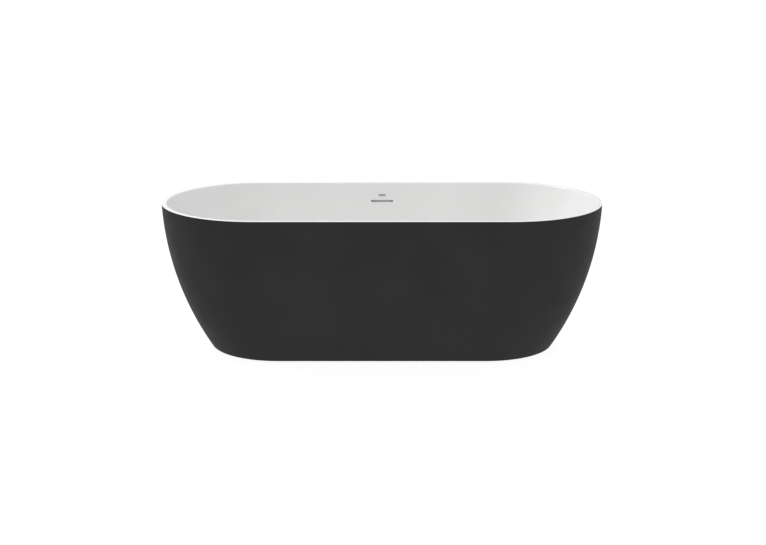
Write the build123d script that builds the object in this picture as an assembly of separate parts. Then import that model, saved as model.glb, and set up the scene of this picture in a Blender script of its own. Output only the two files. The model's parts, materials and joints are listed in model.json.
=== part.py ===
from build123d import *
import math
import os

# Freestanding double-shell bathtub, in millimetres. +X runs along the tub, +Y towards the side with the
# overflow, +Z up. The origin is on the floor, under the middle of the tub and of its waste hole.
# A white inner basin hangs in a dark outer skirt, and the two meet in a thin flat rim. Under the basin a
# steel frame stands on five screw feet. The waste, trap and overflow hose lie between the two shells.

# ---------------------------------------------------------------- driving dimensions
LENGTH, WIDTH, HEIGHT = 1700.0, 750.0, 570.0
BASE_LENGTH, BASE_WIDTH = 1328.0, 542.0  # outline of the skirt at its foot
SKIRT_LEAN = 2.6  # degrees from vertical at the rim
SKIRT_GAP = 2.0  # the skirt's foot clears the floor by this
SKIRT_FOOT_RADIUS = 12.0
SKIRT_RETURN = 30.0  # inward lip round the skirt's foot
SHEET = 5.0  # wall of the basin, acrylic with its laminate
SKIRT_SHEET = 4.0

RIM_WIDTH = 19.0
RIM_LIP = 1.5  # the basin's edge that laps over the top of the skirt
RIM_INNER_RADIUS = 5.0
RIM_OUTER_RADIUS = 1.0

BATHING_FLOOR = 140.0  # height of the basin's floor
FLOOR_LENGTH, FLOOR_WIDTH = 1160.0, 440.0  # where the inner walls would meet that floor
BASIN_LEAN = 16.0
FLOOR_RADIUS = 95.0

WASTE_HOLE_RADIUS = 25.0
PLUG_TRAVEL = 9.0
OVERFLOW_DROP = 74.0  # centre of the overflow slot below the rim
SLOT_LENGTH, SLOT_HEIGHT, SLOT_CORNER = 89.0, 8.5, 2.0  # clear opening, inside its trim
TRIM_WALL = 1.0
BADGE_DROP = 50.5
BADGE_LENGTH, BADGE_HEIGHT, BADGE_THICKNESS = 28.0, 8.0, 1.0

BOARD = 18.0
BOARD_HALF_LENGTH, BOARD_HALF_WIDTH = 530.0, 150.0
TUBE, TUBE_WALL = 25.0, 1.5  # square steel tube of the frame
RAIL_Y, RAIL_HALF_LENGTH = 110.0, 650.0
CROSSBAR_X = {"left": -400.0, "centre": -140.0, "right": 400.0}
CROSSBAR_HALF_LENGTH = 250.0
SPINDLE_RADIUS = 6.0
SPINDLE_TOP = 105.0
FOOT_Y = 215.0
FEET = {
    "front_left": (CROSSBAR_X["left"], -FOOT_Y),
    "front_right": (CROSSBAR_X["right"], -FOOT_Y),
    "rear_left": (CROSSBAR_X["left"], FOOT_Y),
    "rear_right": (CROSSBAR_X["right"], FOOT_Y),
    "centre": (CROSSBAR_X["centre"], 0.0),
}

FIT = 0.1  # radial clearance of a running fit
GAP = 0.3  # between pieces of different bodies that don't fit into each other
GLUE = 0.2  # between bonded faces
PAST = 1.0  # how far a cutting shape runs past the face it opens

# ---------------------------------------------------------------- levels worked out from them
SKIRT_TOP = HEIGHT - RIM_LIP
BASIN_UNDER = BATHING_FLOOR - SHEET
BOARD_UNDER = BASIN_UNDER - BOARD
RAIL_UNDER = BOARD_UNDER - TUBE
BAR_UNDER = RAIL_UNDER - TUBE
HOLE_LENGTH = SLOT_LENGTH + 2 * (TRIM_WALL + GLUE)  # cut in the basin's wall for the trim
HOLE_HEIGHT = SLOT_HEIGHT + 2 * (TRIM_WALL + GLUE)
HOLE_CORNER = SLOT_CORNER + TRIM_WALL + GLUE


# ---------------------------------------------------------------- shapes used by several parts
def wall_profile(z, top_half, base_half, low, high, lean):
    """Half-length of a wall at height z: one arc from its foot to its top, leaning by lean at the top."""
    run, rise, tilt = top_half - base_half, high - low, math.radians(lean)
    radius = (run**2 + rise**2) / (2 * run * math.cos(tilt) - 2 * rise * math.sin(tilt))
    centre_x = top_half - radius * math.cos(tilt)
    centre_z = high + radius * math.sin(tilt)
    return centre_x + math.sqrt(radius**2 - (z - centre_z) ** 2)


def skirt_half_sizes(z):
    """Outer half-length and half-width of the skirt at height z."""
    half = wall_profile(z, LENGTH / 2, BASE_LENGTH / 2, SKIRT_GAP, HEIGHT, SKIRT_LEAN)
    share = (half - BASE_LENGTH / 2) / (LENGTH / 2 - BASE_LENGTH / 2)
    return half, BASE_WIDTH / 2 + share * (WIDTH - BASE_WIDTH) / 2


def basin_half_sizes(z):
    """Half-length and half-width of the bathing space at height z, before its floor is rounded."""
    top_half = LENGTH / 2 - RIM_WIDTH
    half = wall_profile(z, top_half, FLOOR_LENGTH / 2, BATHING_FLOOR, HEIGHT, BASIN_LEAN)
    share = (half - FLOOR_LENGTH / 2) / (top_half - FLOOR_LENGTH / 2)
    side_run = WIDTH / 2 - RIM_WIDTH - FLOOR_WIDTH / 2
    return half, FLOOR_WIDTH / 2 + share * side_run


def stadium(half_length, half_width, z):
    return Plane.XY.offset(z) * SlotOverall(2 * half_length, 2 * half_width)


def stadium_block(half_length, half_width, low, high):
    return extrude(stadium(half_length, half_width, low), high - low)


def shell_body(half_sizes, low, high, grow=0.0, sections=9):
    """Solid between two heights whose outline at each height is a stadium, grown sideways by grow."""
    levels = [low + (high - low) * i / (sections - 1) for i in range(sections)]
    outlines = []
    for z in levels:
        half_length, half_width = half_sizes(z)
        outlines.append(stadium(half_length + grow, half_width + grow, z))
    return loft(outlines)


def rounded_foot(body, radius):
    return fillet(body.edges().group_by(Axis.Z)[0], radius)


def cylinder(radius, low, high, x=0.0, y=0.0):
    return Pos(x, y, low) * Cylinder(radius, high - low, align=(Align.CENTER, Align.CENTER, Align.MIN))


def ring(inner, outer, low, high, x=0.0, y=0.0):
    return cylinder(outer, low, high, x, y) - cylinder(inner, low - PAST, high + PAST, x, y)


def pipe_x(radius, x_low, x_high, y=0.0, z=0.0):
    return Pos(x_low, y, z) * Rot(0, 90, 0) * cylinder(radius, 0, x_high - x_low)


def pipe_y(radius, y_low, y_high, x=0.0, z=0.0):
    return Pos(x, y_low, z) * Rot(-90, 0, 0) * cylinder(radius, 0, y_high - y_low)


def hexagon(across_flats, low, high, x=0.0, y=0.0):
    outline = RegularPolygon(across_flats / math.sqrt(3), 6)
    return Pos(x, y, low) * extrude(outline, high - low)


def block(x_low, x_high, y_low, y_high, z_low, z_high):
    centre = ((x_low + x_high) / 2, (y_low + y_high) / 2, (z_low + z_high) / 2)
    return Pos(*centre) * Box(x_high - x_low, y_high - y_low, z_high - z_low)


def save(name, *solids):
    shape = solids[0] if len(solids) == 1 else Compound(children=list(solids))
    export_step(shape, f"parts/{name}.step")


# ---------------------------------------------------------------- the rear wall's own frame
def rear_wall_plane(drop):
    """Plane on the basin's rear wall, drop below the rim: x along the tub, y up the wall, z into the tub."""
    z = HEIGHT - drop
    step = 1.0
    slope = (basin_half_sizes(z + step)[1] - basin_half_sizes(z - step)[1]) / (2 * step)
    lean = math.atan(slope)
    normal = (0, -math.cos(lean), math.sin(lean))
    return Plane(origin=(0, basin_half_sizes(z)[1], z), x_dir=(1, 0, 0), z_dir=normal)


SLOT_PLANE = rear_wall_plane(OVERFLOW_DROP)
BADGE_PLANE = rear_wall_plane(BADGE_DROP)


def wall_plate(plane, length, height, corner, low, high, y=0.0):
    """Rounded plate parallel to a wall plane, between two distances from it. Positive is into the tub."""
    outline = RectangleRounded(length, height, corner)
    return plane * Pos(0, y, low) * extrude(outline, high - low)


# ---------------------------------------------------------------- shells
FLANGE_STEP = SKIRT_SHEET + 1.0  # width of the thin lip that laps over the skirt
RECESS_RADIUS, RECESS_DEPTH = 38.0, 4.0  # seat of the waste in the basin's floor


def inner_basin():
    outside = rounded_foot(
        shell_body(basin_half_sizes, BASIN_UNDER, HEIGHT - SHEET, grow=SHEET), FLOOR_RADIUS + SHEET
    )
    half_length, half_width = LENGTH / 2, WIDTH / 2
    flange = stadium_block(half_length - FLANGE_STEP, half_width - FLANGE_STEP, HEIGHT - SHEET, HEIGHT)
    lip = fillet(
        stadium_block(half_length, half_width, SKIRT_TOP, HEIGHT).edges().group_by(Axis.Z)[-1],
        RIM_OUTER_RADIUS,
    )
    dish = cylinder(RECESS_RADIUS + SHEET, BASIN_UNDER - RECESS_DEPTH, BATHING_FLOOR)
    bathing_space = rounded_foot(shell_body(basin_half_sizes, BATHING_FLOOR, HEIGHT), FLOOR_RADIUS)
    body = outside + flange + lip + dish - bathing_space
    body -= cylinder(RECESS_RADIUS, BATHING_FLOOR - RECESS_DEPTH, BATHING_FLOOR + PAST)
    body -= cylinder(WASTE_HOLE_RADIUS, BASIN_UNDER - RECESS_DEPTH - PAST, BATHING_FLOOR)
    rim_edge = body.edges().filter_by(lambda e: e.bounding_box().min.Z > HEIGHT - 0.01).sort_by(SortBy.LENGTH)
    inner_edges = [e for e in rim_edge if on_outline(e, half_length - RIM_WIDTH, half_width - RIM_WIDTH)]
    body = fillet(inner_edges, RIM_INNER_RADIUS)
    return body - wall_plate(SLOT_PLANE, HOLE_LENGTH, HOLE_HEIGHT, HOLE_CORNER, -4 * SHEET, 2 * SHEET)


def on_outline(edge, half_length, half_width):
    """Whether an edge of the flat rim lies on the stadium of these half sizes."""
    point = edge @ 0.5
    past_straight = max(abs(point.X) - (half_length - half_width), 0.0)
    return abs(math.hypot(past_straight, point.Y) - half_width) < 0.5


def skirt_inside(grow=0.0):
    """Space inside the skirt, above the lip round its foot."""
    low = SKIRT_GAP + SKIRT_SHEET
    space = shell_body(skirt_half_sizes, low, SKIRT_TOP + 0.1, grow=-SKIRT_SHEET + grow)
    return rounded_foot(space, SKIRT_FOOT_RADIUS - SKIRT_SHEET)


def outer_skirt():
    outside = rounded_foot(shell_body(skirt_half_sizes, SKIRT_GAP, SKIRT_TOP), SKIRT_FOOT_RADIUS)
    half_length, half_width = BASE_LENGTH / 2 - SKIRT_RETURN, BASE_WIDTH / 2 - SKIRT_RETURN
    opening = stadium_block(half_length, half_width, 0, SKIRT_GAP + 2 * SKIRT_SHEET)
    return outside - skirt_inside() - opening


# ---------------------------------------------------------------- bond and support board
BEAD_DEPTH, BEAD_WIDTH = 9.0, 8.0
TAB_X = (-480.0, -240.0, 240.0, 480.0)
TAB, TAB_REACH, PLATE = 30.0, 25.0, 3.0  # width of a tab, how far it stands out, thickness of bent plate
SCREW_RADIUS, SCREW_HEAD_RADIUS, SCREW_HEAD = 1.9, 3.6, 2.5
PILOT_RADIUS = 2.0
BOARD_PILOT_DEPTH, BOARD_SCREW_DEPTH = 14.4, 13.5
BOARD_HOLE_RADIUS = 62.0


def rim_bond_bead():
    low, high = HEIGHT - SHEET - BEAD_DEPTH, HEIGHT - SHEET
    outer = shell_body(skirt_half_sizes, low, high, grow=-SKIRT_SHEET - GLUE, sections=3)
    return outer - shell_body(skirt_half_sizes, low, high, grow=-SKIRT_SHEET - BEAD_WIDTH, sections=3)


def board_screw_places():
    """Where the screws go up into the board, halfway out along each tab."""
    reach = RAIL_Y - TUBE / 2 - TAB_REACH / 2
    return [(x, side * reach) for x in TAB_X for side in (-1, 1)]


def floor_board():
    board = stadium_block(BOARD_HALF_LENGTH, BOARD_HALF_WIDTH, BOARD_UNDER, BASIN_UNDER)
    board -= cylinder(BOARD_HOLE_RADIUS, BOARD_UNDER - PAST, BASIN_UNDER + PAST)
    for x, y in board_screw_places():
        board -= cylinder(PILOT_RADIUS, BOARD_UNDER - PAST, BOARD_UNDER + BOARD_PILOT_DEPTH, x, y)
    return board


def board_tabs():
    tabs = []
    for x, y in board_screw_places():
        tab = block(
            x - TAB / 2, x + TAB / 2, y - TAB_REACH / 2, y + TAB_REACH / 2, BOARD_UNDER - PLATE, BOARD_UNDER
        )
        tabs.append(tab - cylinder(PILOT_RADIUS, BOARD_UNDER - PLATE - PAST, BOARD_UNDER + PAST, x, y))
    return tabs


def board_screws():
    screws = []
    for x, y in board_screw_places():
        under = BOARD_UNDER - PLATE
        shank = cylinder(SCREW_RADIUS, under, BOARD_UNDER + BOARD_SCREW_DEPTH, x, y)
        screws.append(shank + cylinder(SCREW_HEAD_RADIUS, under - SCREW_HEAD, under, x, y))
    return screws


# ---------------------------------------------------------------- steel frame
BOLT_RADIUS, BOLT_HOLE_RADIUS = 3.0, 3.2
BOLT_HEX, BOLT_HEAD, BOLT_NUT = 10.0, 4.0, 5.0
BOLT_INSET = 16.0  # bolt behind the tube's end
BRACKET_WIDTH, BRACKET_HEIGHT = 44.0, 33.0
BRACKET_BACK, BRACKET_FRONT = -24.0, 12.0  # ends of the bracket's flat leg, from the tube's end
BRACKET_SCREW_Y, BRACKET_SCREW_Z = 17.0, 14.0
BLOCK_PILOT_DEPTH, BLOCK_SCREW_LENGTH = 18.0, 20.0
BOLT_TIP = 2.0  # thread that shows past the nut
BLOCK_REACH = 90.0
SPINDLE_HOLE_RADIUS = 7.0
FOOT_HEX, FOOT_NUT, FOOT_LOCK_NUT = 18.0, 10.0, 8.0
PLUG_CAP_THICKNESS, PLUG_STUB = 2.0, 8.0

RAIL_ENDS = [
    Pos(0, side * RAIL_Y, RAIL_UNDER) * Rot(0, 0, turn) * Pos(RAIL_HALF_LENGTH, 0, 0)
    for side, turn in ((-1, 0), (1, 0))
] + [
    Pos(0, side * RAIL_Y, RAIL_UNDER) * Rot(0, 0, 180) * Pos(RAIL_HALF_LENGTH, 0, 0) for side in (-1, 1)
]
BAR_ENDS = [
    Pos(x, 0, BAR_UNDER) * Rot(0, 0, turn) * Pos(CROSSBAR_HALF_LENGTH, 0, 0)
    for x in CROSSBAR_X.values()
    for turn in (-90, 90)
]
TUBE_ENDS = RAIL_ENDS + BAR_ENDS  # each at the middle of the tube's underside, its x axis pointing outwards


def bolt_holes():
    holes = [end * cylinder(BOLT_HOLE_RADIUS, -PAST, TUBE + PAST, -BOLT_INSET) for end in TUBE_ENDS]
    return Compound(children=holes)


def square_tube_x(half_length, y, under):
    half, inner = TUBE / 2, TUBE / 2 - TUBE_WALL
    low, high = under + TUBE_WALL, under + TUBE - TUBE_WALL
    outside = block(-half_length, half_length, y - half, y + half, under, under + TUBE)
    return outside - block(-half_length - PAST, half_length + PAST, y - inner, y + inner, low, high)


def rail(y):
    return square_tube_x(RAIL_HALF_LENGTH, y, RAIL_UNDER) - bolt_holes()


def crossbar(x):
    bar = Pos(x, 0, 0) * Rot(0, 0, 90) * square_tube_x(CROSSBAR_HALF_LENGTH, 0, BAR_UNDER) - bolt_holes()
    for foot_x, foot_y in FEET.values():
        if foot_x == x:
            bar -= cylinder(SPINDLE_HOLE_RADIUS, BAR_UNDER - PAST, RAIL_UNDER + PAST, foot_x, foot_y)
    return bar


def tube_end_plug():
    half, inner = TUBE / 2, TUBE / 2 - TUBE_WALL - GLUE
    cap = block(0, PLUG_CAP_THICKNESS, -half, half, 0, TUBE)
    stub = block(-PLUG_STUB, 0, -inner, inner, TUBE_WALL + GLUE, TUBE - TUBE_WALL - GLUE)
    return cap + stub


def skirt_bracket():
    half = BRACKET_WIDTH / 2
    flat_leg = block(BRACKET_BACK, BRACKET_FRONT, -half, half, -PLATE, 0)
    upright = block(BRACKET_FRONT - PLATE, BRACKET_FRONT, -half, half, -PLATE, BRACKET_HEIGHT)
    holes = cylinder(BOLT_HOLE_RADIUS, -PLATE - PAST, PAST, -BOLT_INSET)
    for y in (-BRACKET_SCREW_Y, BRACKET_SCREW_Y):
        holes += pipe_x(PILOT_RADIUS, BRACKET_FRONT - PLATE - PAST, BRACKET_FRONT + PAST, y, BRACKET_SCREW_Z)
    return flat_leg + upright - holes


def block_screw(y):
    face = BRACKET_FRONT - PLATE
    shank = pipe_x(SCREW_RADIUS, face, face + BLOCK_SCREW_LENGTH, y, BRACKET_SCREW_Z)
    return shank + pipe_x(SCREW_HEAD_RADIUS, face - SCREW_HEAD, face, y, BRACKET_SCREW_Z)


def bracket_bolt():
    shank = cylinder(BOLT_RADIUS, -PLATE, TUBE + BOLT_NUT + BOLT_TIP, -BOLT_INSET)
    return shank + hexagon(BOLT_HEX, -PLATE - BOLT_HEAD, -PLATE, -BOLT_INSET)


def bracket_nut():
    bore = cylinder(BOLT_RADIUS + FIT, TUBE - PAST, TUBE + BOLT_NUT + PAST, -BOLT_INSET)
    return hexagon(BOLT_HEX, TUBE, TUBE + BOLT_NUT, -BOLT_INSET) - bore


def skirt_blocks():
    """Blocks bonded to the inside of the skirt, one facing each bracket and shaped to the skirt behind."""
    half = BRACKET_WIDTH / 2
    blank = block(BRACKET_FRONT, BLOCK_REACH, -half, half, -PLATE, BRACKET_HEIGHT)
    low, high = BRACKET_FRONT - PAST, BRACKET_FRONT + BLOCK_PILOT_DEPTH
    for y in (-BRACKET_SCREW_Y, BRACKET_SCREW_Y):
        blank -= pipe_x(PILOT_RADIUS, low, high, y, BRACKET_SCREW_Z)
    room = skirt_inside(grow=-GLUE)
    return [solid for end in TUBE_ENDS for solid in (end * blank & room).solids()]


def at_tube_ends(piece):
    return [end * piece for end in TUBE_ENDS]


# ---------------------------------------------------------------- screw feet
PAD_RADIUS, PAD_RIM, PAD_HEIGHT = 25.0, 6.0, 14.0
PAD_BOSS_RADIUS = 12.0
COLLAR_RADIUS, COLLAR_TOP = 7.0, 10.0
NECK_RADIUS = 5.0
SOCKET_FLOOR = 4.0
PAD_CHAMFER, SPINDLE_CHAMFER = 2.0, 1.0
SPINDLE_SLOT_WIDTH, SPINDLE_SLOT_DEPTH = 1.6, 2.0
DRIVE_HEX, DRIVE_LOW, DRIVE_HIGH = 14.0, 16.0, 24.0


def hex_nut(across_flats, low, high, x, y):
    bore = cylinder(SPINDLE_RADIUS + FIT, low - PAST, high + PAST, x, y)
    return hexagon(across_flats, low, high, x, y) - bore


def foot_nuts():
    return [hex_nut(FOOT_HEX, BAR_UNDER - FOOT_NUT, BAR_UNDER, x, y) for x, y in FEET.values()]


def foot_lock_nuts():
    high = BAR_UNDER - FOOT_NUT
    return [hex_nut(FOOT_HEX, high - FOOT_LOCK_NUT, high, x, y) for x, y in FEET.values()]


def foot_pad(x, y):
    disc = cylinder(PAD_RADIUS, 0, PAD_RIM)
    disc = chamfer(disc.edges().group_by(Axis.Z)[-1], PAD_CHAMFER)
    pad = disc + cylinder(PAD_BOSS_RADIUS, PAD_RIM - PAST, PAD_HEIGHT)
    pad -= cylinder(COLLAR_RADIUS + FIT, SOCKET_FLOOR, COLLAR_TOP + GAP)
    return Pos(x, y, 0) * (pad - cylinder(NECK_RADIUS + FIT, SOCKET_FLOOR, PAD_HEIGHT + PAST))


def foot_spindle(x, y):
    spindle = cylinder(COLLAR_RADIUS, SOCKET_FLOOR + GAP, COLLAR_TOP)
    spindle += cylinder(NECK_RADIUS, SOCKET_FLOOR + GAP, DRIVE_LOW)
    spindle += hexagon(DRIVE_HEX, DRIVE_LOW, DRIVE_HIGH)
    thread = cylinder(SPINDLE_RADIUS, DRIVE_LOW, SPINDLE_TOP)
    thread = chamfer(thread.edges().group_by(Axis.Z)[-1], SPINDLE_CHAMFER)
    half, low = SPINDLE_SLOT_WIDTH / 2, SPINDLE_TOP - SPINDLE_SLOT_DEPTH
    slot = block(-SPINDLE_RADIUS, SPINDLE_RADIUS, -half, half, low, SPINDLE_TOP + PAST)
    return Pos(x, y, 0) * (spindle + thread - slot)


# ---------------------------------------------------------------- waste and its click plug
DISC_TOP, DISC_UNDER, DISC_RADIUS = BATHING_FLOOR, BATHING_FLOOR - 3.0, 36.0
SEAT_DEPTH, SEAT_RADIUS = 2.0, 31.5
THROAT_RADIUS, THROAT_WALL, THROAT_LOW = 22.0, 2.5, 105.0
DISC_ROUND, PLUG_ROUND = 1.0, 2.5
ARM_WIDTH = 3.0
SEAL = 1.0
LOWER_SEAL = 3.0
BODY_RADIUS, BODY_BORE, BODY_LOW = 30.0, 25.0, 56.0
BODY_FLOOR, BODY_FLANGE = 4.0, 4.0
BODY_SPIGOT = 22.0  # how far its hose spigot reaches into the hose
BODY_TOP = BASIN_UNDER - RECESS_DEPTH - LOWER_SEAL
OUTLET_Z, OUTLET_RADIUS, OUTLET_BORE = 82.0, 20.0, 17.0
PORT_Z, SPIGOT_RADIUS, SPIGOT_BORE = 76.0, 9.8, 7.8
CARTRIDGE_RADIUS, CARTRIDGE_BORE = 8.5, 6.0
CARTRIDGE_LOW, CARTRIDGE_HIGH, CARTRIDGE_FLOOR = 94.0, 122.0, 2.5
CARTRIDGE_CAP = 4.0
HUB_RADIUS, HUB_LOW, HUB_HIGH = 11.5, 114.0, 120.0
STEM_RADIUS = 3.0
PISTON_LOW, PISTON_HIGH = 118.0, 121.7
PLUG_RADIUS, PLUG_UNDER, PLUG_THICKNESS = 30.0, BATHING_FLOOR + 8.8, 3.5
PLUG_SEAL_LOW = DISC_TOP - SEAT_DEPTH + PLUG_TRAVEL + GAP
SPRING_RADIUS, SPRING_WIRE, SPRING_TURNS = 4.5, 0.8, 7


def waste_flange():
    flange = cylinder(DISC_RADIUS, DISC_UNDER, DISC_TOP)
    flange = fillet(flange.edges().group_by(Axis.Z)[-1], DISC_ROUND)
    flange -= cylinder(SEAT_RADIUS, DISC_TOP - SEAT_DEPTH, DISC_TOP + PAST)
    flange += cylinder(THROAT_RADIUS + THROAT_WALL, THROAT_LOW, DISC_UNDER + 0.5)
    flange -= cylinder(THROAT_RADIUS, THROAT_LOW - PAST, DISC_TOP + PAST)
    flange += ring(CARTRIDGE_RADIUS + FIT, HUB_RADIUS, HUB_LOW, HUB_HIGH)
    for turn in (0, 120, 240):
        arm = block(HUB_RADIUS - PAST, THROAT_RADIUS + PAST, -ARM_WIDTH / 2, ARM_WIDTH / 2, HUB_LOW, HUB_HIGH)
        flange += Rot(0, 0, turn) * arm
    return flange


def waste_upper_seal():
    return ring(WASTE_HOLE_RADIUS + 0.5, DISC_RADIUS - 2, DISC_UNDER - SEAL, DISC_UNDER)


def waste_lower_seal():
    return ring(WASTE_HOLE_RADIUS + PAST, DISC_RADIUS + PAST, BODY_TOP, BODY_TOP + LOWER_SEAL)


def waste_body():
    body = cylinder(BODY_RADIUS, BODY_LOW, BODY_TOP)
    body += cylinder(DISC_RADIUS + 2, BODY_TOP - BODY_FLANGE, BODY_TOP)
    body += pipe_x(OUTLET_RADIUS, 0, COLLAR_X, z=OUTLET_Z)
    body += pipe_x(UNION_RADIUS, COLLAR_X - UNION_COLLAR, COLLAR_X, z=OUTLET_Z)
    body += pipe_y(SPIGOT_RADIUS, 0, HOSE_END_Y + BODY_SPIGOT, z=PORT_Z)
    body -= cylinder(BODY_BORE, BODY_LOW + BODY_FLOOR, BODY_TOP + PAST)
    body -= pipe_x(OUTLET_BORE, 0, COLLAR_X + PAST, z=OUTLET_Z)
    return body - pipe_y(SPIGOT_BORE, 0, HOSE_END_Y + BODY_SPIGOT + PAST, z=PORT_Z)


def click_cartridge():
    cup = cylinder(CARTRIDGE_RADIUS, CARTRIDGE_LOW, CARTRIDGE_HIGH)
    return cup - cylinder(CARTRIDGE_BORE, CARTRIDGE_LOW + CARTRIDGE_FLOOR, CARTRIDGE_HIGH + PAST)


def cartridge_cap():
    return ring(STEM_RADIUS + FIT, CARTRIDGE_RADIUS, CARTRIDGE_HIGH, CARTRIDGE_HIGH + CARTRIDGE_CAP)


def cartridge_spring():
    low, high = CARTRIDGE_LOW + CARTRIDGE_FLOOR + SPRING_WIRE / 2, PISTON_LOW - SPRING_WIRE / 2
    path = Pos(0, 0, low) * Helix((high - low) / SPRING_TURNS, high - low, SPRING_RADIUS)
    section = Plane(origin=path @ 0, z_dir=path % 0) * Circle(SPRING_WIRE / 2)
    return sweep(section, path, is_frenet=True)


def plug_cap():
    disc = cylinder(PLUG_RADIUS, PLUG_UNDER, PLUG_UNDER + PLUG_THICKNESS)
    return fillet(disc.edges().group_by(Axis.Z)[-1], PLUG_ROUND)


def plug_seal():
    return ring(PLUG_RADIUS - 6, PLUG_RADIUS - 1.5, PLUG_SEAL_LOW, PLUG_UNDER)


def plug_stem():
    stem = cylinder(STEM_RADIUS, PISTON_LOW, PLUG_UNDER)
    return stem + cylinder(CARTRIDGE_BORE - FIT, PISTON_LOW, PISTON_HIGH)


# ---------------------------------------------------------------- trap and drain pipe
COLLAR_X = 84.0  # end of the waste's outlet
UNION_RADIUS, UNION_COLLAR, UNION_SEAL = 22.0, 4.0, 3.0
UNION_NUT_RADIUS = 28.0
TRAP_X, TRAP_RADIUS, TRAP_WALL = 150.0, 42.0, 3.0
TRAP_LOW, TRAP_HIGH = 14.0, 106.0
CAP_WALL, CAP_TOP, CAP_SKIRT = 3.5, 112.0, 9.0
BAFFLE, BAFFLE_RISE = 3.0, 20.0  # thickness, and its foot above the trap's underside
PIPE_Z, PIPE_RADIUS, PIPE_BORE = 74.0, 25.0, 23.0
SLEEVE_RADIUS, SLEEVE_END = 30.0, 212.0
PIPE_START, DROP_X, DROP_END, PIPE_BEND = 196.0, 275.0, 4.0, 28.0  # it turns down to a floor drain
PIPE_SEAL, PIPE_NUT_RADIUS = 5.0, 35.5


def trap_inlet_nut():
    low, high = COLLAR_X - UNION_COLLAR - 5, COLLAR_X + 16
    nut = pipe_x(UNION_NUT_RADIUS, low, high, z=OUTLET_Z)
    nut -= pipe_x(UNION_RADIUS + FIT, COLLAR_X - UNION_COLLAR, high + PAST, z=OUTLET_Z)
    return nut - pipe_x(OUTLET_RADIUS + FIT, low - PAST, high, z=OUTLET_Z)


def trap_inlet_seal():
    seal = pipe_x(UNION_RADIUS, COLLAR_X, COLLAR_X + UNION_SEAL, z=OUTLET_Z)
    return seal - pipe_x(OUTLET_BORE + 0.5, COLLAR_X - PAST, COLLAR_X + UNION_SEAL + PAST, z=OUTLET_Z)


def trap_body():
    trap = cylinder(TRAP_RADIUS, TRAP_LOW, TRAP_HIGH, TRAP_X)
    trap += pipe_x(UNION_RADIUS, COLLAR_X + UNION_SEAL, TRAP_X, z=OUTLET_Z)
    trap += pipe_x(SLEEVE_RADIUS, TRAP_X, SLEEVE_END, z=PIPE_Z)
    trap -= cylinder(TRAP_RADIUS - TRAP_WALL, TRAP_LOW + TRAP_WALL, TRAP_HIGH + PAST, TRAP_X)
    trap -= pipe_x(OUTLET_BORE, COLLAR_X, TRAP_X, z=OUTLET_Z)
    trap -= pipe_x(PIPE_RADIUS + FIT, PIPE_START, SLEEVE_END + PAST, z=PIPE_Z)
    return trap - pipe_x(PIPE_BORE, TRAP_X, SLEEVE_END, z=PIPE_Z)


def trap_baffle():
    half = TRAP_RADIUS - TRAP_WALL - BAFFLE / 2
    return block(TRAP_X - BAFFLE / 2, TRAP_X + BAFFLE / 2, -half, half, TRAP_LOW + BAFFLE_RISE, TRAP_HIGH)


def trap_cleanout_seal():
    return ring(TRAP_RADIUS - TRAP_WALL, TRAP_RADIUS, TRAP_HIGH, TRAP_HIGH + SEAL, TRAP_X)


def trap_cleanout_cap():
    outer = TRAP_RADIUS + FIT + CAP_WALL
    cap = cylinder(outer, TRAP_HIGH - CAP_SKIRT, CAP_TOP, TRAP_X)
    cap -= cylinder(TRAP_RADIUS + FIT, TRAP_HIGH - CAP_SKIRT - PAST, TRAP_HIGH + SEAL, TRAP_X)
    window = pipe_x(UNION_RADIUS + GAP, TRAP_X - outer - PAST, TRAP_X, z=OUTLET_Z)
    return cap - window - pipe_x(SLEEVE_RADIUS + GAP, TRAP_X, TRAP_X + outer + PAST, z=PIPE_Z)


def outlet_nut():
    low, high = SLEEVE_END - 10, SLEEVE_END + PIPE_SEAL + 4
    nut = pipe_x(PIPE_NUT_RADIUS, low, high, z=PIPE_Z)
    nut -= pipe_x(SLEEVE_RADIUS + FIT, low - PAST, SLEEVE_END + PIPE_SEAL, z=PIPE_Z)
    return nut - pipe_x(PIPE_RADIUS + FIT, low, high + PAST, z=PIPE_Z)


def outlet_seal():
    seal = pipe_x(SLEEVE_RADIUS, SLEEVE_END, SLEEVE_END + PIPE_SEAL, z=PIPE_Z)
    return seal - pipe_x(PIPE_RADIUS + FIT, SLEEVE_END - PAST, SLEEVE_END + PIPE_SEAL + PAST, z=PIPE_Z)


def drain_run(radius):
    """Solid bar along the drain pipe: level from the trap, round a bend, then down to the floor."""
    bend_x, bend_z = DROP_X - PIPE_BEND, PIPE_Z - PIPE_BEND
    level = pipe_x(radius, PIPE_START, bend_x, z=PIPE_Z)
    turn = PIPE_BEND * math.sin(math.radians(45))
    path = ThreePointArc((bend_x, 0, PIPE_Z), (bend_x + turn, 0, bend_z + turn), (DROP_X, 0, bend_z))
    bend = sweep(Plane(origin=path @ 0, z_dir=path % 0) * Circle(radius), path)
    return level + bend + cylinder(radius, DROP_END, bend_z, DROP_X)


def outlet_pipe():
    return drain_run(PIPE_RADIUS) - drain_run(PIPE_BORE)


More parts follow.
